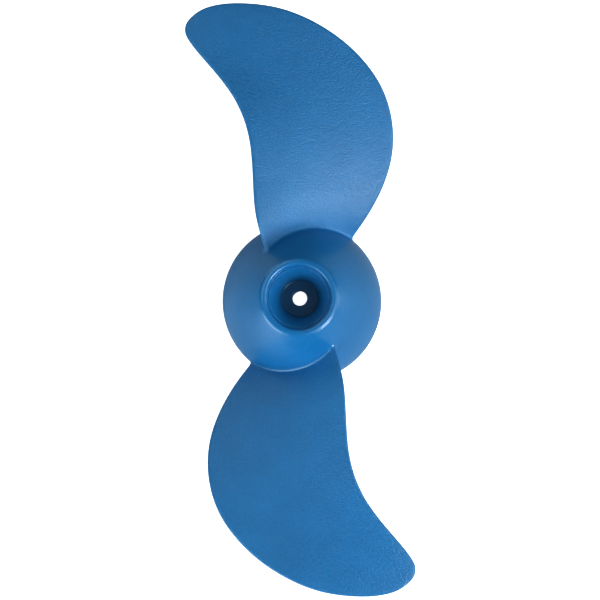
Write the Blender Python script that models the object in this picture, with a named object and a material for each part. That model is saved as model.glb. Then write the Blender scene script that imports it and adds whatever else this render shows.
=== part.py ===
"""Two-blade propeller of a small electric outboard motor, moulded in one piece of glass-filled nylon.

Metres, +Z along the shaft towards the nut end. The origin is on the shaft's axis, in the plane of the hub's
open rim. Angles about the shaft are in degrees, clockwise from +Y as the nut end shows them, so the leading
edge of the first blade has the larger angles and the propeller turns clockwise.
"""

import math

import bmesh
import bpy
from mathutils import Matrix, Vector

MM = 0.001

# Hub: a hollow, tapering boss whose open rim faces the motor
HUB_RADIUS = 38.0 * MM
RIM_ROUND = 0.8 * MM
STRAIGHT_WALL_TOP = 3.0 * MM
DOME_POWER = 1.9
NOSE_SLOPE_DEG = 49.5
LIP_RADIUS = 16.3 * MM
LIP_TOP = 47.0 * MM
LIP_OUTER_ROUND = 3.4 * MM
LIP_INNER_ROUND = 1.5 * MM
SHELL_THICKNESS = 3.0 * MM
HUB_SIDES = 56

# Recess for the propeller nut, and the hole for the shaft's threaded end
MOUTH_STEP_DEPTH = 3.0 * MM
MOUTH_STEP_WIDTH = 1.1 * MM
RECESS_FLOOR_RADIUS = 8.3 * MM
RECESS_DEPTH = 12.0 * MM
STUD_HOLE_RADIUS = 3.5 * MM
NUT_SEAT_THICKNESS = 5.0 * MM

# Boss for the shaft, with a slot across its end for the drive pin
SHAFT_BORE_RADIUS = 4.85 * MM
BORE_CHAMFER = 0.8 * MM
BOSS_RADIUS = 11.0 * MM
BOSS_END = 2.5 * MM
PIN_SLOT_WIDTH = 4.4 * MM
PIN_SLOT_DEPTH = 7.0 * MM
POCKET_CEILING = 41.0 * MM

# Ribs between the boss and the shell
RIB_COUNT = 6
RIB_THICKNESS = 2.4 * MM
RIB_END = 6.0 * MM
RIB_BITE = 1.2 * MM

# Blades: each station joins a point of the leading edge to one of the trailing edge.
# A point is its radius in mm, its angle in degrees and its height above the rim in mm.
# The last number is how many mm the section sags between its edges, away from the nut.
# The first station lies on the hub, whose own radius replaces the one given there.
BLADE_COUNT = 2
BLADE_STATIONS = [
    ((37.5, 38.7, 8.5), (27.2, -35.7, 34.5), 0.0),
    ((51.2, 37.9, 14.0), (42.7, -28.4, 39.2), 0.3),
    ((66.3, 35.7, 17.6), (58.3, -22.0, 40.0), 0.9),
    ((80.7, 32.2, 20.8), (71.8, -18.5, 40.2), 1.7),
    ((94.4, 27.2, 23.6), (84.0, -17.4, 40.0), 2.2),
    ((107.4, 20.8, 26.1), (96.2, -18.0, 39.3), 2.1),
    ((118.8, 13.1, 28.3), (107.8, -19.7, 38.3), 1.5),
    ((128.9, 4.7, 30.4), (118.6, -21.6, 37.4), 0.8),
    ((137.1, -3.6, 31.9), (128.0, -23.0, 36.4), 0.2),
    ((142.2, -11.4, 33.0), (135.6, -23.5, 35.5), 0.0),
    ((144.1, -16.4, 33.7), (140.6, -22.4, 34.7), 0.0),
    ((143.6, -19.5, 33.9), (143.6, -19.5, 33.9), 0.0),
]
ROOT_THICKNESS = 6.0 * MM
TIP_THICKNESS = 2.2 * MM
EDGE_THICKNESS = 1.6 * MM
ROOT_FILLET = 2.0 * MM
ROOT_BITE = 1.5 * MM
FILLET_HEIGHTS = [0.0, 0.08, 0.3, 0.65]
ROWS_PER_STATION = 2
CHORD_CELLS = 10
NOSE_CELLS = 4

BLUE = (0.022, 0.163, 0.44, 1.0)
ROUGHNESS = 0.42


def dome_radius(height):
    """Outer radius of the hub at a height above the rim."""
    rise = (height - STRAIGHT_WALL_TOP) / (nose_start()[1] - STRAIGHT_WALL_TOP)
    return HUB_RADIUS - (HUB_RADIUS - nose_start()[0]) * max(rise, 0.0) ** DOME_POWER


def nose_start():
    """Where the dome runs into the round of the lip."""
    slope = math.radians(NOSE_SLOPE_DEG)
    return (
        LIP_RADIUS + LIP_OUTER_ROUND * math.sin(slope),
        LIP_TOP - LIP_OUTER_ROUND * (1 - math.cos(slope)),
    )


def arc(centre, radius, start_deg, end_deg, cells):
    """Points of an arc in the plane of the hub's profile."""
    angles = [math.radians(start_deg + (end_deg - start_deg) * i / cells) for i in range(cells + 1)]
    return [(centre[0] + radius * math.cos(a), centre[1] + radius * math.sin(a)) for a in angles]


def dome_heights(cells, top):
    return [STRAIGHT_WALL_TOP + (top - STRAIGHT_WALL_TOP) * i / cells for i in range(cells + 1)]


def outer_profile():
    """Rim, dome and lip, from the bottom up."""
    rim = arc((HUB_RADIUS - RIM_ROUND, RIM_ROUND), RIM_ROUND, -90, 0, 2)
    dome = [(dome_radius(z), z) for z in dome_heights(9, nose_start()[1])][:-1]
    outer = arc((LIP_RADIUS, LIP_TOP - LIP_OUTER_ROUND), LIP_OUTER_ROUND, 90 - NOSE_SLOPE_DEG, 90, 4)
    inner = arc((LIP_RADIUS, LIP_TOP - LIP_INNER_ROUND), LIP_INNER_ROUND, 90, 180, 3)
    return rim + dome + outer + inner[1:]


def recess_profile():
    """Mouth, funnel and floor of the nut recess, down to the bore's foot."""
    mouth = LIP_RADIUS - LIP_INNER_ROUND
    step = LIP_TOP - MOUTH_STEP_DEPTH
    floor = LIP_TOP - RECESS_DEPTH
    seat = floor - NUT_SEAT_THICKNESS
    return [
        (mouth, step),
        (mouth - MOUTH_STEP_WIDTH, step),
        (RECESS_FLOOR_RADIUS, floor),
        (STUD_HOLE_RADIUS, floor),
        (STUD_HOLE_RADIUS, seat),
        (SHAFT_BORE_RADIUS, seat),
        (SHAFT_BORE_RADIUS, BOSS_END + BORE_CHAMFER),
        (SHAFT_BORE_RADIUS + BORE_CHAMFER, BOSS_END),
    ]


def funnel_back():
    """Where the back of the recess's wall meets the ceiling of the pockets."""
    mouth = LIP_RADIUS - LIP_INNER_ROUND
    return mouth + 0.2 * SHELL_THICKNESS


def pocket_profile():
    """Outside of the boss, ceiling of the pockets and inside of the shell, down to the rim."""
    floor = LIP_TOP - RECESS_DEPTH
    wall = [(dome_radius(z) - SHELL_THICKNESS, z) for z in dome_heights(7, POCKET_CEILING)]
    return [
        (BOSS_RADIUS, BOSS_END),
        (BOSS_RADIUS, floor - NUT_SEAT_THICKNESS + SHELL_THICKNESS),
        (funnel_back(), POCKET_CEILING - 0.3 * SHELL_THICKNESS),
        *reversed(wall),
        (HUB_RADIUS - SHELL_THICKNESS, 0.0),
    ]


def mesh_object(name, bm):
    bmesh.ops.recalc_face_normals(bm, faces=bm.faces)
    mesh = bpy.data.meshes.new(name)
    bm.to_mesh(mesh)
    bm.free()
    made = bpy.data.objects.new(name, mesh)
    bpy.context.scene.collection.objects.link(made)
    return made


def make_hub():
    """The turned body of the hub."""
    bm = bmesh.new()
    profile = outer_profile() + recess_profile() + pocket_profile()
    verts = [bm.verts.new((r, 0.0, z)) for r, z in profile]
    edges = [bm.edges.new((a, b)) for a, b in zip(verts, verts[1:] + verts[:1])]
    bmesh.ops.spin(
        bm, geom=verts + edges, axis=(0, 0, 1), cent=(0, 0, 0), angle=math.tau, steps=HUB_SIDES, use_merge=True
    )
    bmesh.ops.remove_doubles(bm, verts=bm.verts, dist=1e-7)
    return mesh_object("propeller", bm)


def make_rib(turn):
    """A web from the boss to the shell, reaching a little into both."""
    bm = bmesh.new()
    heights = [RIB_END + (POCKET_CEILING - RIB_END) * i / 6 for i in range(7)]
    shell = [(dome_radius(z) - SHELL_THICKNESS + RIB_BITE, z) for z in heights]
    boss = BOSS_RADIUS - RIB_BITE
    seat = LIP_TOP - RECESS_DEPTH - NUT_SEAT_THICKNESS + SHELL_THICKNESS
    outline = [(boss, RIB_END), *shell, (funnel_back(), POCKET_CEILING), (boss, seat)]
    face = bm.faces.new([bm.verts.new((r, -RIB_THICKNESS / 2, z)) for r, z in outline])
    moved = bmesh.ops.extrude_face_region(bm, geom=[face])["geom"]
    side = [v for v in moved if isinstance(v, bmesh.types.BMVert)]
    bmesh.ops.translate(bm, vec=(0, RIB_THICKNESS, 0), verts=side)
    rib = mesh_object("rib_tool", bm)
    rib.rotation_euler.z = turn
    return rib


def make_slot_cutter():
    """The block that cuts the drive pin's slot across the end of the boss."""
    bm = bmesh.new()
    bmesh.ops.create_cube(bm, size=1.0)
    size = (2.4 * BOSS_RADIUS, PIN_SLOT_WIDTH, 2 * PIN_SLOT_DEPTH)
    bmesh.ops.transform(bm, matrix=Matrix.Diagonal((*size, 1.0)), verts=bm.verts)
    bmesh.ops.translate(bm, vec=(0, 0, BOSS_END), verts=bm.verts)
    return mesh_object("pin_slot_tool", bm)


def smooth_path(points, place):
    """The point at a place along a smooth curve through the points, which are whole numbers apart."""
    index = min(int(place), len(points) - 2)
    t = place - index
    p1, p2 = points[index], points[index + 1]
    p0 = points[index - 1] if index > 0 else 2 * p1 - p2
    p3 = points[index + 2] if index + 2 < len(points) else 2 * p2 - p1
    return 0.5 * (2 * p1 + (p2 - p0) * t + (2 * p0 - 5 * p1 + 4 * p2 - p3) * t**2 + (3 * p1 - p0 - 3 * p2 + p3) * t**3)


def blade_edges():
    """Leading and trailing edges as lists of (radius, angle, height), each run on past the tip."""
    scale = Vector((MM, math.pi / 180, MM))
    leading = [Vector(station[0]) * scale for station in BLADE_STATIONS]
    trailing = [Vector(station[1]) * scale for station in BLADE_STATIONS]
    for edge in (leading, trailing):
        edge[0].x = dome_radius(edge[0].z)
    return leading + [trailing[-2]], trailing + [leading[-2]]


LEADING, TRAILING = blade_edges()
SAG = [station[2] * MM for station in BLADE_STATIONS]
LAST_STATION = len(BLADE_STATIONS) - 1


def middle_surface(place, across):
    """A point of the blade's middle surface: place counts stations, and across runs from 0, leading, to 1."""
    lead = smooth_path(LEADING, place)
    trail = smooth_path(TRAILING, place)
    radius, angle, height = lead.lerp(trail, across)
    near_hub = max(1.0 - place, 0.0)
    straight = LEADING[0].x + (TRAILING[0].x - LEADING[0].x) * across
    height -= smooth_path(SAG, place) * 4 * across * (1 - across)
    radius += (dome_radius(height) - straight) * near_hub
    return Vector((radius * math.sin(angle), radius * math.cos(angle), height))


def middle_frame(place, across):
    """The point with the directions towards the trailing edge and out of the face on the nut's side."""
    step = 0.01
    inner, outer = max(place - step, 0.0), min(place + step, LAST_STATION - step)
    span = middle_surface(outer, across) - middle_surface(inner, across)
    chord = middle_surface(place, min(across + step, 1.0)) - middle_surface(place, max(across - step, 0.0))
    return middle_surface(place, across), chord.normalized(), span.cross(chord).normalized()


def fillet_spread(height):
    """How far the fillet stands out from the blade at a height above the hub."""
    rest = max(ROOT_FILLET - max(height, 0.0), 0.0)
    return ROOT_FILLET - math.sqrt(max(ROOT_FILLET**2 - rest**2, 0.0))


def half_thickness(place, across):
    """Half the blade's thickness, from its rounded edge to the middle of the chord."""
    share = place / LAST_STATION
    middle = ROOT_THICKNESS + (TIP_THICKNESS - ROOT_THICKNESS) * share**0.6
    fullness = (4 * across * (1 - across)) ** 0.75
    return (EDGE_THICKNESS + (middle - EDGE_THICKNESS) * fullness) / 2


def over_hub(point, lift):
    """The point moved straight out or in from the shaft's axis, to stand at this height over the hub."""
    out = Vector((point.x, point.y, 0)).normalized()
    return out * (dome_radius(point.z) + lift) + Vector((0, 0, point.z))


def section_ring(place, lift):
    """One closed ring of points round the blade. Lift is the height over the hub, or None away from the fillet."""
    spread = 0.0 if lift is None else fillet_spread(lift)
    nose = EDGE_THICKNESS / 2
    ring = []
    for side in (1, -1):
        cells = range(CHORD_CELLS + 1) if side > 0 else range(CHORD_CELLS, -1, -1)
        for i in cells:
            across = (1 - math.cos(math.pi * i / CHORD_CELLS)) / 2
            here, chord, normal = middle_frame(place, across)
            inset = nose * (1 - 2 * across)
            centre = here + chord * inset
            ring.append(centre + normal * side * (half_thickness(place, across) + spread))
        here, chord, normal = middle_frame(place, 1.0 if side > 0 else 0.0)
        outward = chord * side
        centre = here - outward * nose
        for k in range(1, NOSE_CELLS):
            turn = math.pi * k / NOSE_CELLS
            offset = normal * side * math.cos(turn) + outward * math.sin(turn)
            ring.append(centre + offset * (nose + spread))
    return ring if lift is None else [over_hub(point, lift) for point in ring]


def blade_rings():
    """Rings from inside the hub's wall, up the fillet and out to just short of the tip."""
    rings = [section_ring(0.0, -ROOT_BITE)]
    for height in FILLET_HEIGHTS:
        rings.append(section_ring(0.0, height * ROOT_FILLET))
    rows = ROWS_PER_STATION * LAST_STATION
    first = 1
    for row in range(first, rows):
        rings.append(section_ring(row / ROWS_PER_STATION, None))
    return rings


def close_ring(bm, ring):
    """A cap that keeps to the ring's own curve, in strips from one side of the blade to the other."""
    opposite = 2 * CHORD_CELLS + NOSE_CELLS
    for i in range(CHORD_CELLS):
        bm.faces.new((ring[i], ring[i + 1], ring[opposite - i - 1], ring[opposite - i]))
    bm.faces.new(ring[CHORD_CELLS : CHORD_CELLS + NOSE_CELLS + 1])
    bm.faces.new(ring[opposite:] + ring[:1])


def make_blade(turn):
    """One closed blade, whose foot lies inside the hub's wall."""
    bm = bmesh.new()
    rings = [[bm.verts.new(point) for point in ring] for ring in blade_rings()]
    for inner, outer in zip(rings, rings[1:]):
        for i in range(len(inner)):
            j = (i + 1) % len(inner)
            bm.faces.new((inner[i], inner[j], outer[j], outer[i]))
    close_ring(bm, rings[0])
    close_ring(bm, rings[-1])
    blade = mesh_object("blade_tool", bm)
    blade.rotation_euler.z = turn
    return blade


def combine(target, tool, operation):
    tool.hide_render = True
    tool.display_type = "WIRE"
    modifier = target.modifiers.new(tool.name, "BOOLEAN")
    modifier.operation = operation
    modifier.object = tool


def nylon():
    material = bpy.data.materials.new("blue_nylon")
    material.use_nodes = True
    shader = material.node_tree.nodes["Principled BSDF"]
    shader.inputs["Base Color"].default_value = BLUE
    shader.inputs["Roughness"].default_value = ROUGHNESS
    shader.inputs["Metallic"].default_value = 0.0
    return material


def main():
    for old in list(bpy.data.objects):
        bpy.data.objects.remove(old)
    propeller = make_hub()
    for i in range(RIB_COUNT):
        combine(propeller, make_rib(math.tau * (i + 0.5) / RIB_COUNT), "UNION")
    for i in range(BLADE_COUNT):
        combine(propeller, make_blade(math.tau * i / BLADE_COUNT), "UNION")
    combine(propeller, make_slot_cutter(), "DIFFERENCE")
    propeller.data.materials.append(nylon())
    propeller.data.shade_smooth()
    propeller.data.set_sharp_from_angle(angle=math.radians(35))


main()
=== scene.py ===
"""Looks of a small electric outboard motor's propeller, moulded in one piece of blue nylon.

Everything is in metres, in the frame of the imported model: +Z runs along the shaft towards the nut end, and
the hub's open rim lies in the plane z = 0. Angles about the shaft are clockwise from +Y, as the nut end shows
them.
"""

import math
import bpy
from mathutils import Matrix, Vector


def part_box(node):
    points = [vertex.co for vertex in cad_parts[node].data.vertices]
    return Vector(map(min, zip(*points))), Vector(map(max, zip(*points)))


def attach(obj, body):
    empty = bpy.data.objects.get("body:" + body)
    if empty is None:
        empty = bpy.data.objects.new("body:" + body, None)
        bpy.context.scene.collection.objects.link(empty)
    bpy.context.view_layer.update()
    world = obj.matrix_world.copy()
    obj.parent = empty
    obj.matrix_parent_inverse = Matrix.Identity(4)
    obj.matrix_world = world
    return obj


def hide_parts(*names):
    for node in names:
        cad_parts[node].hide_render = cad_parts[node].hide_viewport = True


bl_info = {
    "name": "Outboard propeller",
    "version": (1, 0, 0),
    "blender": (4, 5, 0),
    "location": "3D View > Sidebar > Propeller",
    "description": "Models a moulded two-blade propeller around its packed frame, in a plain studio",
    "category": "Add Mesh",
}

import bpy
from bpy.props import FloatProperty, FloatVectorProperty, IntProperty, PointerProperty
from mathutils import Matrix, Vector

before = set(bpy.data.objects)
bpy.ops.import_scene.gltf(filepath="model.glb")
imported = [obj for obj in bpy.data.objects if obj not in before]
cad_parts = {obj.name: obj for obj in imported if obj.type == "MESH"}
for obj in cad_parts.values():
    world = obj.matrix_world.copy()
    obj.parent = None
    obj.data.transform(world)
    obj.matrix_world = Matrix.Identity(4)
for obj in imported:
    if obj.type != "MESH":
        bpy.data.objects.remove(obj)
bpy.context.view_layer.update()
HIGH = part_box("propeller")[1]

MM = 0.001

# Blades: each station joins a point of the leading edge to one of the trailing edge.
# A point is its radius in mm, its angle in degrees and its height above the rim in mm.
# The last number is how many mm the section sags between its edges, away from the nut.
# The first station lies on the hub, whose own radius replaces the one given there.
BLADE_STATIONS = [
    ((37.5, 38.7, 8.5), (27.2, -35.7, 34.5), 0.0),
    ((51.2, 37.9, 14.0), (42.7, -28.4, 39.2), 0.3),
    ((66.3, 35.7, 17.6), (58.3, -22.0, 40.0), 0.9),
    ((80.7, 32.2, 20.8), (71.8, -18.5, 40.2), 1.7),
    ((94.4, 27.2, 23.6), (84.0, -17.4, 40.0), 2.2),
    ((107.4, 20.8, 26.1), (96.2, -18.0, 39.3), 2.1),
    ((118.8, 13.1, 28.3), (107.8, -19.7, 38.3), 1.5),
    ((128.9, 4.7, 30.4), (118.6, -21.6, 37.4), 0.8),
    ((137.1, -3.6, 31.9), (128.0, -23.0, 36.4), 0.2),
    ((142.2, -11.4, 33.0), (135.6, -23.5, 35.5), 0.0),
    ((144.1, -16.4, 33.7), (140.6, -22.4, 34.7), 0.0),
    ((143.6, -19.5, 33.9), (143.6, -19.5, 33.9), 0.0),
]
LAST_STATION = len(BLADE_STATIONS) - 1

# Hub's outside: the round of its rim, the height where the dome starts to curve in, and how it curves
RIM_ROUND = 0.8 * MM
DOME_START = 3 * MM
DOME_POWER = 1.9

# Hub's inside: depth of the step below the lip, back of the recess's wall, and chamfer of the bore
MOUTH_DEPTH = 3 * MM
BACK_OFFSET = 0.6 * MM
BACK_DROP = 0.9 * MM
BACK_RISE = 3 * MM
CHAMFER = 0.8 * MM

# How far the ribs run into the boss and the shell, and how soon a blade thins on its way to the tip
BITE = 1.2 * MM
THINNING = 0.6

# How finely the surfaces are divided
SIDES = 160
WALL_ROWS = 20
FACE_CELLS = 80
EDGE_CELLS = 10
RING = 2 * (FACE_CELLS + 2 * EDGE_CELLS)
PATCH_ROWS = 14
FILLET_ROWS = 8
BLADE_ROWS = 84
ARC_CELLS = 6

# Rings round a blade's foot: where on their outer edge they start, and how they crowd towards the foot
PATCH_START = 4
PATCH_EASE = 1.7

# The grain is full at this distance outside the hub.
GRAIN_RISE = 2 * MM

# Painted shade in the nut recess: depths below the lip's step where it starts and is full, how it gathers,
# and what light it leaves
PAINTED_SHADE_START = 2.5 * MM
PAINTED_SHADE_FULL = 7.5 * MM
PAINTED_SHADE_POWER = 2.5
PAINTED_SHADE_LEVEL = 0.35

# Features of the nylon's textures per metre, and the colour of dust on it
CLOUDS = 45
FRECKLES = 1300
GLOSS_PATCHES = 1100
GRAINS = 1300
DUST_CELLS = 110
DUST_CLOUDS = 30
DUST_COLOUR = (0.12, 0.4, 0.68, 1.0)

# Where the camera stands and what it looks at, its roll in radians and its lens in mm
CAMERA_PLACE = (0.0485, -0.0662, 1.5)
CAMERA_AIM = (-0.00035, -0.00013, 0.020)
CAMERA_ROLL = -0.003
CAMERA_LENS = 187.8

# Soft square lights: name, azimuth and elevation in degrees, size in metres and power in watts.
# Azimuths run clockwise from +Y.
LIGHTS = [
    ("key", 133, 32, 0.6, 13.5),
    ("glint", 133, 55, 0.2, 6.0),
    ("low_left", 226, 12, 1.2, 21.0),
    ("left_high", 290, 58, 0.7, 3.4),
    ("back_left", 315, 12, 0.7, 2.5),
    ("back_left_high", 330, 48, 0.7, 3.0),
    ("right_low", 90, 10, 0.7, 5.0),
    ("right_high", 90, 48, 0.7, 4.0),
    ("back_right", 45, 48, 0.7, 1.5),
    ("from_below", 0, -90, 1.0, 14.0),
]
LIGHT_DISTANCE = 1.6
LIGHT_AIM = (0.0, 0.0, 0.03)
GROUND_SIZE = 8

# Strength of the white world as a light and as the camera sees it, and the gamma of the display
WORLD_STRENGTH = 0.01
WORLD_SEEN = 1.0
DISPLAY_GAMMA = 0.72


def length_property(name, description, default):
    """A property that holds a length in metres."""
    return FloatProperty(name=name, description=description, default=default, unit="LENGTH")


def share_property(name, description, default):
    """A property that holds a number from 0 to 1."""
    return FloatProperty(name=name, description=description, default=default, min=0, max=1)


def colour_property(name, description, default):
    """A property that holds a colour."""
    return FloatVectorProperty(name=name, description=description, default=default, size=3, subtype="COLOR")


class HubSizes(bpy.types.PropertyGroup):
    """Sizes of the hub"""

    radius: length_property("Radius", "Radius at the open rim", 0.038)
    height: length_property("Height", "Rim to top of lip", HIGH.z)
    wall: length_property("Wall", "Thickness of the shell", 0.003)
    lip_radius: length_property("Lip", "Radius of the ridge", 0.0163)
    lip_outer: length_property("Lip outside", "Round outside it", 0.0034)
    lip_inner: length_property("Lip inside", "Round inside it", 0.0015)
    slope: FloatProperty(
        name="Slope", description="Slope of the dome at the lip", default=math.radians(49.5), subtype="ANGLE"
    )
    step: length_property("Step", "Width of the step below the lip", 0.0011)
    recess: length_property("Recess", "Depth of the nut recess", 0.012)
    floor: length_property("Floor", "Radius of the recess's floor", 0.0083)
    stud: length_property("Stud hole", "Radius of its hole", 0.0035)
    seat: length_property("Seat", "Thickness under the nut", 0.005)
    bore: length_property("Bore", "Radius of the shaft's bore", 0.00485)
    boss: length_property("Boss", "Outer radius of the boss", 0.011)
    boss_end: length_property("Boss end", "Height of its end", 0.0025)
    ceiling: length_property("Ceiling", "Height of the hollow", 0.041)
    slot_width: length_property("Slot", "Width of the pin slot", 0.0044)
    slot_depth: length_property("Slot depth", "Depth of the pin slot", 0.007)
    ribs: IntProperty(name="Ribs", description="Ribs between boss and shell", default=6, min=1)
    rib_width: length_property("Rib width", "Thickness of a rib", 0.0024)
    rib_end: length_property("Rib end", "Height of the ribs' ends", 0.006)


class BladeSizes(bpy.types.PropertyGroup):
    """Thicknesses of the blades"""

    root: length_property("Root", "Thickness amid the root", 0.006)
    tip: length_property("Tip", "Thickness amid the tip", 0.0022)
    edge: length_property("Edge", "Thickness where an edge rounds off", 0.0016)
    roll: length_property("Edge width", "Width of a rounded edge", 0.0016)
    fillet: length_property("Fillet", "Radius between blade and hub", 0.002)


class FinishLooks(bpy.types.PropertyGroup):
    """Colours and surface of the moulding, and colour of the ground"""

    nylon: colour_property("Nylon", "Colour of the plastic", (0.016, 0.226, 0.49))
    hub_roughness: share_property("Hub", "Roughness of the smooth hub", 0.32)
    blade_roughness: share_property("Blades", "Roughness of the blades", 0.4)
    polish: share_property("Polish", "Weight of the hub's clear shine", 0.12)
    grain_depth: length_property("Grain", "Depth of the grain", 0.0003)
    ground: colour_property("Ground", "Colour of the ground", (0.62, 0.62, 0.62))


def dome_end(hub):
    """Where the dome runs into the round of the lip, as radius and height."""
    return (
        hub.lip_radius + hub.lip_outer * math.sin(hub.slope),
        hub.height - hub.lip_outer * (1 - math.cos(hub.slope)),
    )


def dome_radius(hub, height):
    """Outer radius of the hub at a height above the rim."""
    end_radius, end_height = dome_end(hub)
    rise = max((height - DOME_START) / (end_height - DOME_START), 0.0)
    return hub.radius - (hub.radius - end_radius) * rise**DOME_POWER


def rounded(corners):
    """A profile whose corners, given as radius, height and round, are arcs that touch both their sides."""
    points = []
    for i, (r, z, size) in enumerate(corners):
        here = Vector((r, z))
        if size == 0:
            points.append(here)
            continue
        before = (Vector(corners[i - 1][:2]) - here).normalized()
        after = (Vector(corners[i + 1][:2]) - here).normalized()
        half = before.angle(after) / 2
        middle = here + (before + after).normalized() * size / math.sin(half)
        first = here + before * size / math.tan(half) - middle
        last = here + after * size / math.tan(half) - middle
        turn = first.angle(last)
        for k in range(ARC_CELLS + 1):
            a = math.sin(turn * (1 - k / ARC_CELLS)) / math.sin(turn)
            b = math.sin(turn * k / ARC_CELLS) / math.sin(turn)
            points.append(middle + first * a + last * b)
    return points


def lip_arc(hub, size, start, end, cells):
    """Points over the lip's ridge on a round of this size, from one angle above the horizontal to another."""
    points = []
    for k in range(1, cells + 1):
        turn = start + (end - start) * k / cells
        height = hub.height - size * (1 - math.sin(turn))
        points.append(Vector((hub.lip_radius + size * math.cos(turn), height)))
    return points


def funnel_back(hub):
    """Radius where the back of the recess's wall meets the ceiling of the hollow."""
    return hub.lip_radius - hub.lip_inner + BACK_OFFSET


def hub_profile(hub):
    """From the dome's foot round the rim, through the hub's inside and over the lip to the dome's top."""
    floor = hub.height - hub.recess
    seat = floor - hub.seat
    mouth = hub.lip_radius - hub.lip_inner
    step = hub.height - MOUTH_DEPTH
    rows = [hub.ceiling * i / WALL_ROWS for i in range(1, WALL_ROWS)]
    inside = rounded(
        [
            (hub.radius, RIM_ROUND, 0.0),
            (hub.radius, 0.0, 0.99 * RIM_ROUND),
            (hub.radius - hub.wall, 0.0, 0.4 * MM),
            *[(dome_radius(hub, z) - hub.wall, z, 0.0) for z in rows],
            (dome_radius(hub, hub.ceiling) - hub.wall, hub.ceiling, 1.0 * MM),
            (funnel_back(hub), hub.ceiling - BACK_DROP, 1.0 * MM),
            (hub.boss, seat + BACK_RISE, 1.5 * MM),
            (hub.boss, hub.boss_end, 0.4 * MM),
            (hub.bore + CHAMFER, hub.boss_end, 0.2 * MM),
            (hub.bore, hub.boss_end + CHAMFER, 0.2 * MM),
            (hub.bore, seat, 0.3 * MM),
            (hub.stud, seat, 0.2 * MM),
            (hub.stud, floor, 0.25 * MM),
            (hub.floor, floor, 0.4 * MM),
            (mouth - hub.step, step, 0.25 * MM),
            (mouth, step, 0.2 * MM),
            (mouth, hub.height - hub.lip_inner, 0.0),
        ]
    )
    over = lip_arc(hub, hub.lip_inner, math.pi, math.pi / 2, ARC_CELLS)
    down = lip_arc(hub, hub.lip_outer, math.pi / 2, math.pi / 2 - hub.slope, 2 * ARC_CELLS)
    return inside + over + down


def smooth_path(points, place):
    """The point at a place along a smooth curve through the points, which are one unit apart."""
    index = min(int(place), len(points) - 2)
    t = place - index
    p1, p2 = points[index], points[index + 1]
    p0 = points[index - 1] if index > 0 else 2 * p1 - p2
    p3 = points[index + 2] if index + 2 < len(points) else 2 * p2 - p1
    square = 2 * p0 - 5 * p1 + 4 * p2 - p3
    cube = 3 * p1 - p0 - 3 * p2 + p3
    return 0.5 * (2 * p1 + (p2 - p0) * t + square * t**2 + cube * t**3)


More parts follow.
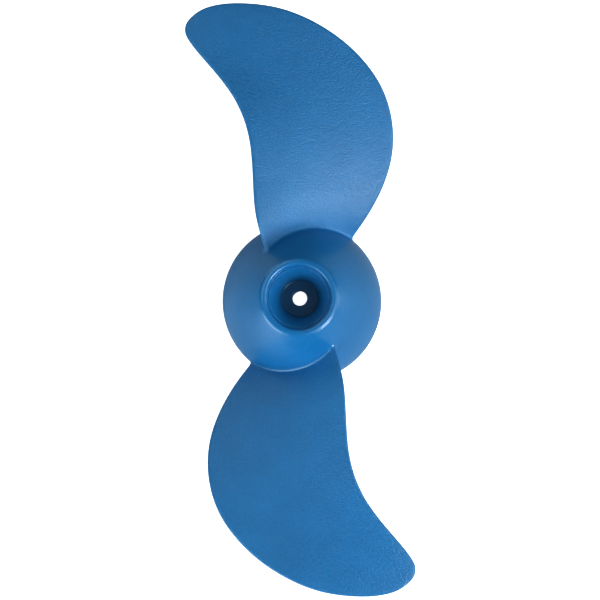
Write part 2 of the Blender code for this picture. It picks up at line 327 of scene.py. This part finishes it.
class Blade:
    """The shape of a blade: its middle surface, its sections and the half of the hub that it stands on."""

    def __init__(self, hub, sizes):
        self.hub = hub
        self.sizes = sizes
        scale = Vector((MM, math.pi / 180, MM))
        leading = [Vector(station[0]) * scale for station in BLADE_STATIONS]
        trailing = [Vector(station[1]) * scale for station in BLADE_STATIONS]
        for edge in (leading, trailing):
            edge[0].x = dome_radius(hub, edge[0].z)
        # Past the tip each edge runs on into the other, which keeps both curves smooth there.
        self.leading = leading + [trailing[-2]]
        self.trailing = trailing + [leading[-2]]
        self.sag = [station[2] * MM for station in BLADE_STATIONS]

    def middle(self, place, across):
        """A point of the middle surface: place counts stations, and across runs from 0, leading, to 1."""
        lead = smooth_path(self.leading, place)
        trail = smooth_path(self.trailing, place)
        radius, angle, height = lead.lerp(trail, across)
        # The root follows the dome between its edges, and this bend is gone by the next station.
        near_hub = max(1.0 - place, 0.0)
        straight = self.leading[0].x + (self.trailing[0].x - self.leading[0].x) * across
        height -= smooth_path(self.sag, place) * 4 * across * (1 - across)
        radius += (dome_radius(self.hub, height) - straight) * near_hub
        return Vector((radius * math.sin(angle), radius * math.cos(angle), height))

    def directions(self, place, across):
        """Towards the trailing edge along the section, and out of the face on the nut's side."""
        step = 0.01
        steady = min(place, LAST_STATION - 2.0)
        run = self.middle(steady, min(across + step, 1.0)) - self.middle(steady, max(across - step, 0.0))
        span = self.middle(steady + step, across) - self.middle(max(steady - step, 0.0), across)
        chord = run
        if place > steady:
            chord = self.middle(place, min(across + step, 1.0)) - self.middle(place, max(across - step, 0.0))
        chord = chord.normalized()
        normal = span.cross(run).normalized()
        normal = (normal - chord * normal.dot(chord)).normalized()
        return chord, normal

    def section(self, place):
        """Stops round the blade, each with its roll over the edge and its side, and the thickness's share."""
        points = [self.middle(place, i / 8) for i in range(9)]
        width = sum((b - a).length for a, b in zip(points, points[1:]))
        roll = self.sizes.roll / max(width, 3 * self.sizes.roll)
        nose = [math.pi / 2 * k / EDGE_CELLS for k in range(EDGE_CELLS)]
        lead = [(roll * (1 - math.cos(turn)), -math.cos(turn)) for turn in nose]
        face = [(roll + (1 - 2 * roll) * i / FACE_CELLS, 0.0) for i in range(FACE_CELLS + 1)]
        trail = [(1 - across, -rolled) for across, rolled in reversed(lead)]
        stops = lead + face + trail
        around = [(*stop, 1) for stop in stops] + [(*stop, -1) for stop in reversed(stops[1:-1])]
        return around, min(1.0, width / (3 * self.sizes.roll))

    def skin(self, place, across, rolled, side, full=1.0, spread=0.0):
        """A point of the surface on one side, pushed outwards by spread."""
        chord, normal = self.directions(place, across)
        upright = math.sqrt(1 - rolled**2)
        sizes = self.sizes
        middle = sizes.root + (sizes.tip - sizes.root) * (place / LAST_STATION) ** THINNING
        half = full * (sizes.edge * upright + (middle - sizes.edge) * 4 * across * (1 - across)) / 2
        outward = chord * rolled + normal * side * upright
        return self.middle(place, across) + normal * side * half + outward * spread

    def over_hub(self, point, lift):
        """The point moved straight out from the shaft's axis, to stand at this height over the hub."""
        out = Vector((point.x, point.y, 0)).normalized()
        return out * (dome_radius(self.hub, point.z) + lift) + Vector((0, 0, point.z))

    def height_over_hub(self, point):
        return math.hypot(point.x, point.y) - dome_radius(self.hub, point.z)

    def climb(self, across):
        """How many stations the blade needs to rise from the hub by the fillet's radius."""
        step = 0.05
        return self.sizes.fillet * step / self.height_over_hub(self.middle(step, across))

    def fillet_point(self, turn, across, rolled, side):
        """A point of the fillet: turn runs from 0, flat on the hub, to a right angle, flat on the blade."""
        lift = 1 - math.cos(turn)
        place = self.climb(across) * lift
        spread = self.sizes.fillet * (1 - math.sin(turn))
        point = self.skin(place, across, rolled, side, spread=spread)
        rise = self.height_over_hub(self.skin(place, across, rolled, side))
        foot = self.height_over_hub(self.skin(0.0, across, rolled, side))
        return self.over_hub(point, rise - foot * (1 - lift))

    def window(self):
        """The edge of the blade's half of the hub, with a point for each point of the foot."""
        low = RIM_ROUND
        high = dome_end(self.hub)[1]
        side = math.pi / 2
        columns = SIDES // 2
        rows = RING // 2 - columns
        right = [(side, low + (high - low) * i / rows) for i in range(rows)]
        top = [(side - math.pi * i / columns, high) for i in range(columns)]
        left = [(-angle, low + high - z) for angle, z in right]
        bottom = [(-angle, low) for angle, z in top]
        loop = right + top + left + bottom
        return loop[PATCH_START:] + loop[:PATCH_START]

    def rings(self):
        """Rings of points from the edge of the hub's half, over the fillet and out to the tip."""
        around = self.section(0.0)[0]
        foot = [self.fillet_point(0.0, *stop) for stop in around]
        rows = []
        for k in range(PATCH_ROWS):
            share = 1 - (1 - k / PATCH_ROWS) ** PATCH_EASE
            row = []
            for (angle, height), point in zip(self.window(), foot):
                angle += (math.atan2(point.x, point.y) - angle) * share
                height += (point.z - height) * share
                radius = dome_radius(self.hub, height)
                row.append(Vector((radius * math.sin(angle), radius * math.cos(angle), height)))
            rows.append(row)
        for k in range(FILLET_ROWS):
            rows.append([self.fillet_point(math.pi / 2 * k / FILLET_ROWS, *stop) for stop in around])
        starts = [self.climb(stop[0]) for stop in around]
        for k in range(BLADE_ROWS + 1):
            share = k / BLADE_ROWS
            around, full = self.section(LAST_STATION * share)
            places = [start + (LAST_STATION - start) * share for start in starts]
            rows.append([self.skin(place, *stop, full) for place, stop in zip(places, around)])
        return rows


def deselect():
    if bpy.context.mode != "OBJECT":
        bpy.ops.object.mode_set(mode="OBJECT")
    bpy.ops.object.select_all(action="DESELECT")


def only(obj):
    """Makes this the only selected object, and the active one."""
    deselect()
    obj.select_set(True)
    bpy.context.view_layer.objects.active = obj


def settle(obj):
    """Puts the object's place, turn and scale into its mesh."""
    only(obj)
    bpy.ops.object.transform_apply(location=True, rotation=True, scale=True)


def edit(obj, kind):
    """Opens the mesh for editing, with all of it selected."""
    only(obj)
    bpy.ops.object.mode_set(mode="EDIT")
    bpy.ops.mesh.select_mode(type=kind)
    bpy.ops.mesh.select_all(action="SELECT")


def cut_or_join(obj, tool, operation):
    modifier = obj.modifiers.new(operation.title(), "BOOLEAN")
    modifier.operation = operation
    modifier.solver = "EXACT"
    modifier.object = tool
    only(obj)
    bpy.ops.object.modifier_apply(modifier=modifier.name)
    bpy.data.objects.remove(tool)


class PROPELLER_OT_hub(bpy.types.Operator):
    """Turn the hub's rim, hollow, boss, bore, nut recess and lip"""

    bl_idname = "propeller.hub"
    bl_label = "Hub"

    def execute(self, context):
        profile = hub_profile(context.scene.propeller_hub)
        radius, height = profile[0]
        deselect()
        bpy.ops.mesh.primitive_circle_add(vertices=SIDES, radius=radius, location=(0, 0, height))
        moulding = context.object
        moulding.name = moulding.data.name = "moulding"
        settle(moulding)
        edit(moulding, "EDGE")
        for before, after in zip(profile, profile[1:]):
            bpy.ops.mesh.extrude_edges_move(TRANSFORM_OT_translate={"value": (0, 0, after.y - before.y)})
            share = after.x / before.x
            bpy.ops.transform.resize(value=(share, share, 1), center_override=(0, 0, after.y))
        bpy.ops.object.mode_set(mode="OBJECT")
        return {"FINISHED"}


class PROPELLER_OT_blades(bpy.types.Operator):
    """Shape one blade with its half of the hub's dome, copy it across, and join both to the hub"""

    bl_idname = "propeller.blades"
    bl_label = "Blades"

    def execute(self, context):
        rows = Blade(context.scene.propeller_hub, context.scene.propeller_blade).rings()
        deselect()
        bpy.ops.mesh.primitive_grid_add(x_subdivisions=RING, y_subdivisions=len(rows) - 1)
        blade = context.object
        points = [point for row in rows for point in row + row[:1]]
        blade.data.vertices.foreach_set("co", [value for point in points for value in point])
        blade.data.update()
        edit(blade, "VERT")
        bpy.ops.mesh.remove_doubles(threshold=0.001 * MM)
        bpy.ops.object.mode_set(mode="OBJECT")
        bpy.ops.object.duplicate()
        other = context.object
        bpy.ops.transform.rotate(value=math.pi, orient_axis="Z", center_override=(0, 0, 0))
        settle(other)
        moulding = bpy.data.objects["moulding"]
        only(moulding)
        blade.select_set(True)
        other.select_set(True)
        bpy.ops.object.join()
        edit(moulding, "VERT")
        for again in range(2):
            bpy.ops.mesh.select_all(action="DESELECT")
            bpy.ops.mesh.select_non_manifold()
            if moulding.data.total_vert_sel and again:
                raise RuntimeError("the blades don't close on the hub")
            bpy.ops.mesh.remove_doubles(threshold=0.01 * MM)
        bpy.ops.mesh.select_all(action="SELECT")
        bpy.ops.mesh.normals_make_consistent(inside=False)
        bpy.ops.object.mode_set(mode="OBJECT")
        return {"FINISHED"}


class PROPELLER_OT_ribs(bpy.types.Operator):
    """Stand the ribs between boss and shell, and cut the slot for the drive pin across the boss"""

    bl_idname = "propeller.ribs"
    bl_label = "Ribs and slot"

    def rib_rows(self, hub):
        """Inner and outer end of a rib at each height, a little way into the boss and the shell."""
        rows = []
        top = hub.ceiling + BITE
        seat = hub.height - hub.recess - hub.seat + BACK_RISE
        for i in range(WALL_ROWS + 1):
            height = hub.rib_end + (top - hub.rib_end) * i / WALL_ROWS
            lean = max((height - seat) / (hub.ceiling - seat), 0.0)
            inner = hub.boss - BITE + (funnel_back(hub) - hub.boss + BITE) * lean
            rows.append((inner, dome_radius(hub, height) - hub.wall + BITE, height))
        return rows

    def make_ribs(self, context, hub):
        rows = self.rib_rows(hub)
        deselect()
        bpy.ops.mesh.primitive_grid_add(x_subdivisions=1, y_subdivisions=WALL_ROWS)
        ribs = context.object
        width = hub.rib_width
        points = [(radius, -width / 2, height) for inner, outer, height in rows for radius in (inner, outer)]
        ribs.data.vertices.foreach_set("co", [value for point in points for value in point])
        edit(ribs, "FACE")
        bpy.ops.mesh.extrude_region_move(TRANSFORM_OT_translate={"value": (0, width, 0)})
        bpy.ops.object.mode_set(mode="OBJECT")
        low = hub.rib_end + 0.1 * MM
        vertices = ribs.data.vertices
        for edge in ribs.data.edges:
            a, b = (vertices[i].co for i in edge.vertices)
            edge.select = a.z < low and b.z < low and abs(a.x - b.x) > width
        bpy.ops.object.mode_set(mode="EDIT")
        bpy.ops.mesh.select_mode(type="EDGE")
        bpy.ops.mesh.bevel(offset=0.35 * width, segments=3)
        bpy.ops.mesh.select_all(action="SELECT")
        bpy.ops.mesh.normals_make_consistent(inside=False)
        turn = math.tau / hub.ribs
        bpy.ops.transform.rotate(value=turn / 2, orient_axis="Z", center_override=(0, 0, 0))
        for i in range(1, hub.ribs):
            bpy.ops.mesh.duplicate()
            bpy.ops.transform.rotate(value=turn, orient_axis="Z", center_override=(0, 0, 0))
        bpy.ops.object.mode_set(mode="OBJECT")
        return ribs

    def execute(self, context):
        hub = context.scene.propeller_hub
        moulding = bpy.data.objects["moulding"]
        cut_or_join(moulding, self.make_ribs(context, hub), "UNION")
        deselect()
        bpy.ops.mesh.primitive_cube_add(size=1, location=(0, 0, hub.boss_end))
        slot = context.object
        slot.scale = (2.4 * hub.boss, hub.slot_width, 2 * hub.slot_depth)
        settle(slot)
        cut_or_join(moulding, slot, "DIFFERENCE")
        only(moulding)
        bpy.ops.object.shade_smooth_by_angle(angle=math.radians(30))
        return {"FINISHED"}


def new_material(name):
    material = bpy.data.materials.new(name)
    material.use_nodes = True
    return material, material.node_tree.nodes, material.node_tree.links


def noise(tree, position, scale, detail=2.0):
    """A noise texture of this many features per metre."""
    node = tree.nodes.new("ShaderNodeTexNoise")
    node.inputs["Scale"].default_value = scale
    node.inputs["Detail"].default_value = detail
    tree.links.new(position, node.inputs["Vector"])
    return node.outputs["Fac"]


def spread_out(tree, value, low, high, from_low=0.3, from_high=0.7):
    """The value moved from one range to another, and kept inside it."""
    node = tree.nodes.new("ShaderNodeMapRange")
    node.inputs["From Min"].default_value = from_low
    node.inputs["From Max"].default_value = from_high
    node.inputs["To Min"].default_value = low
    node.inputs["To Max"].default_value = high
    tree.links.new(value, node.inputs["Value"])
    return node.outputs["Result"]


def marked(tree, name):
    """The value that the mesh's points carry under this name."""
    node = tree.nodes.new("ShaderNodeAttribute")
    node.attribute_name = name
    return node.outputs["Fac"]


def math_node(tree, operation, first, second):
    """The outcome of an operation on a value and another value or a number."""
    node = tree.nodes.new("ShaderNodeMath")
    node.operation = operation
    tree.links.new(first, node.inputs[0])
    if isinstance(second, float):
        node.inputs[1].default_value = second
    else:
        tree.links.new(second, node.inputs[1])
    return node.outputs["Value"]


class PROPELLER_OT_finish(bpy.types.Operator):
    """Give the moulding its blue nylon, grained on the blades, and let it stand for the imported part"""

    bl_idname = "propeller.finish"
    bl_label = "Finish"

    def mark_regions(self, moulding, hub):
        """Marks each point of the mesh: grain is 1 on the blades, and painted shade is 1 deep in the nut
        recess.
        """
        grain = moulding.data.attributes.new("grain", "FLOAT", "POINT")
        painted_shade = moulding.data.attributes.new("painted_shade", "FLOAT", "POINT")
        step = hub.height - MOUTH_DEPTH
        for vertex, grained, shaded in zip(moulding.data.vertices, grain.data, painted_shade.data):
            radius = math.hypot(vertex.co.x, vertex.co.y)
            over = radius - dome_radius(hub, vertex.co.z)
            grained.value = min(max(over / GRAIN_RISE, 0.0), 1.0)
            # Painted shade: the mark grows with depth below the lip's step, inside the nut recess.
            depth = step - vertex.co.z
            if radius < hub.lip_radius and depth < hub.recess:
                shaded.value = min(max((depth - PAINTED_SHADE_START) / (PAINTED_SHADE_FULL - PAINTED_SHADE_START), 0.0), 1.0)

    def add_colour(self, tree, position, painted_shade, colour):
        """Cloudy, faintly freckled blue with pale specks of dust, darkened by painted shade deep in the nut
        recess.
        """
        cloud = spread_out(tree, noise(tree, position, CLOUDS), 0.95, 1.05)
        freckle = spread_out(tree, noise(tree, position, FRECKLES, 1.0), 0.93, 1.07)
        tint = tree.nodes.new("ShaderNodeHueSaturation")
        tint.inputs["Color"].default_value = (*colour, 1.0)
        # The colour is darkened here as painted shade deep in the nut recess.
        unshaded = spread_out(tree, math_node(tree, "POWER", painted_shade, PAINTED_SHADE_POWER), 1.0, PAINTED_SHADE_LEVEL, 0.0, 1.0)
        shade = math_node(tree, "MULTIPLY", math_node(tree, "MULTIPLY", cloud, freckle), unshaded)
        tree.links.new(shade, tint.inputs["Value"])
        cells = tree.nodes.new("ShaderNodeTexVoronoi")
        cells.inputs["Scale"].default_value = DUST_CELLS
        tree.links.new(position, cells.inputs["Vector"])
        speck = spread_out(tree, cells.outputs["Distance"], 1.0, 0.0, 0.02, 0.05)
        chosen = math_node(tree, "GREATER_THAN", noise(tree, position, DUST_CLOUDS), 0.6)
        dust = tree.nodes.new("ShaderNodeMix")
        dust.data_type = "RGBA"
        tree.links.new(math_node(tree, "MULTIPLY", speck, chosen), dust.inputs["Factor"])
        tree.links.new(tint.outputs["Color"], dust.inputs["A"])
        dust.inputs["B"].default_value = DUST_COLOUR
        return dust.outputs["Result"]

    def execute(self, context):
        moulding = bpy.data.objects["moulding"]
        self.mark_regions(moulding, context.scene.propeller_hub)
        finish = context.scene.propeller_finish
        material, nodes, links = new_material("blue_nylon")
        tree = material.node_tree
        shader = nodes["Principled BSDF"]
        position = nodes.new("ShaderNodeTexCoord").outputs["Object"]
        grain = marked(tree, "grain")
        # The mark of the painted shade deep in the nut recess, which darkens the base colour.
        painted_shade = marked(tree, "painted_shade")
        links.new(self.add_colour(tree, position, painted_shade, finish.nylon), shader.inputs["Base Color"])
        patches = spread_out(tree, noise(tree, position, GLOSS_PATCHES, 1.0), -0.1, 0.1)
        uneven = math_node(tree, "MULTIPLY", patches, grain)
        rough = spread_out(tree, grain, finish.hub_roughness, finish.blade_roughness, 0.0, 1.0)
        links.new(math_node(tree, "ADD", rough, uneven), shader.inputs["Roughness"])
        links.new(spread_out(tree, grain, finish.polish, 0.0, 0.0, 1.0), shader.inputs["Coat Weight"])
        shader.inputs["Coat Roughness"].default_value = 0.2
        bump = nodes.new("ShaderNodeBump")
        bump.inputs["Strength"].default_value = 1.0
        bump.inputs["Distance"].default_value = finish.grain_depth
        height = math_node(tree, "MULTIPLY", noise(tree, position, GRAINS, 3.0), grain)
        links.new(height, bump.inputs["Height"])
        links.new(bump.outputs["Normal"], shader.inputs["Normal"])
        shader.inputs["IOR"].default_value = 1.5
        shader.inputs["Specular IOR Level"].default_value = 0.9
        moulding.data.materials.clear()
        moulding.data.materials.append(material)
        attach(moulding, "root")
        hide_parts("propeller")
        return {"FINISHED"}


def add_light(context, name, azimuth, elevation, size, power):
    """A square soft light in a direction from the object, turned to face it."""
    around, rise = math.radians(azimuth), math.radians(elevation)
    way = Vector((math.cos(rise) * math.sin(around), math.cos(rise) * math.cos(around), math.sin(rise)))
    aim = Vector(LIGHT_AIM)
    place = aim + LIGHT_DISTANCE * way
    turn = (aim - place).to_track_quat("-Z", "Y").to_euler()
    bpy.ops.object.light_add(type="AREA", location=place, rotation=turn)
    light = context.object
    light.name = name
    light.data.size = size
    light.data.energy = power


class PROPELLER_OT_studio(bpy.types.Operator):
    """Set up the white ground, the soft lights and the camera"""

    bl_idname = "propeller.studio"
    bl_label = "Studio"

    def make_ground(self, context):
        """A white ground that shines only towards the camera, and can be looked through from below."""
        material, nodes, links = new_material("white_ground")
        shader = nodes["Principled BSDF"]
        shader.inputs["Base Color"].default_value = (*context.scene.propeller_finish.ground, 1.0)
        shader.inputs["Roughness"].default_value = 0.7
        shader.inputs["Emission Color"].default_value = (1.0, 1.0, 1.0, 1.0)
        seen = nodes.new("ShaderNodeLightPath").outputs["Is Camera Ray"]
        links.new(seen, shader.inputs["Emission Strength"])
        mix = nodes.new("ShaderNodeMixShader")
        links.new(nodes.new("ShaderNodeNewGeometry").outputs["Backfacing"], mix.inputs["Fac"])
        links.new(shader.outputs["BSDF"], mix.inputs[1])
        links.new(nodes.new("ShaderNodeBsdfTransparent").outputs["BSDF"], mix.inputs[2])
        links.new(mix.outputs["Shader"], nodes["Material Output"].inputs["Surface"])
        bpy.ops.mesh.primitive_plane_add(size=GROUND_SIZE)
        ground = context.object
        ground.name = ground.data.name = "ground"
        ground.data.materials.append(material)
        ground.visible_shadow = False

    def make_world(self, context):
        """A dim world that is white where the camera sees it past the ground."""
        world = bpy.data.worlds.new("soft_white")
        context.scene.world = world
        world.use_nodes = True
        tree = world.node_tree
        background = tree.nodes["Background"]
        background.inputs["Color"].default_value = (1.0, 1.0, 1.0, 1.0)
        seen = tree.nodes.new("ShaderNodeLightPath").outputs["Is Camera Ray"]
        strength = spread_out(tree, seen, WORLD_STRENGTH, WORLD_SEEN, 0.0, 1.0)
        tree.links.new(strength, background.inputs["Strength"])

    def make_camera(self, context):
        place = Vector(CAMERA_PLACE)
        back = (place - Vector(CAMERA_AIM)).normalized()
        right = Vector((math.sin(CAMERA_ROLL), math.cos(CAMERA_ROLL), 0)).cross(back).normalized()
        turn = Matrix((right, back.cross(right), back)).transposed().to_euler()
        bpy.ops.object.camera_add(location=place, rotation=turn)
        camera = context.object
        camera.data.lens = CAMERA_LENS
        context.scene.camera = camera

    def execute(self, context):
        deselect()
        self.make_ground(context)
        self.make_world(context)
        for light in LIGHTS:
            add_light(context, *light)
        self.make_camera(context)
        context.scene.view_settings.view_transform = "Standard"
        context.scene.view_settings.gamma = DISPLAY_GAMMA
        return {"FINISHED"}


class PROPELLER_PT_panel(bpy.types.Panel):
    """Steps that build the propeller, in order"""

    bl_label = "Propeller"
    bl_space_type = "VIEW_3D"
    bl_region_type = "UI"
    bl_category = "Propeller"

    def draw(self, context):
        for step in STEPS:
            self.layout.operator(step.bl_idname)
        scene = context.scene
        for group in (scene.propeller_hub, scene.propeller_blade, scene.propeller_finish):
            for name in group.bl_rna.properties.keys():
                if name not in ("rna_type", "name"):
                    self.layout.prop(group, name)


STEPS = (PROPELLER_OT_hub, PROPELLER_OT_blades, PROPELLER_OT_ribs, PROPELLER_OT_finish, PROPELLER_OT_studio)
CLASSES = (HubSizes, BladeSizes, FinishLooks, *STEPS, PROPELLER_PT_panel)


def register():
    for cls in CLASSES:
        bpy.utils.register_class(cls)
    bpy.types.Scene.propeller_hub = PointerProperty(type=HubSizes)
    bpy.types.Scene.propeller_blade = PointerProperty(type=BladeSizes)
    bpy.types.Scene.propeller_finish = PointerProperty(type=FinishLooks)


def unregister():
    del bpy.types.Scene.propeller_finish
    del bpy.types.Scene.propeller_blade
    del bpy.types.Scene.propeller_hub
    for cls in reversed(CLASSES):
        bpy.utils.unregister_class(cls)


def main():
    register()
    bpy.ops.propeller.hub()
    bpy.ops.propeller.blades()
    bpy.ops.propeller.ribs()
    bpy.ops.propeller.finish()
    bpy.ops.propeller.studio()
    bpy.context.view_layer.update()


if __name__ == "__main__":
    main()
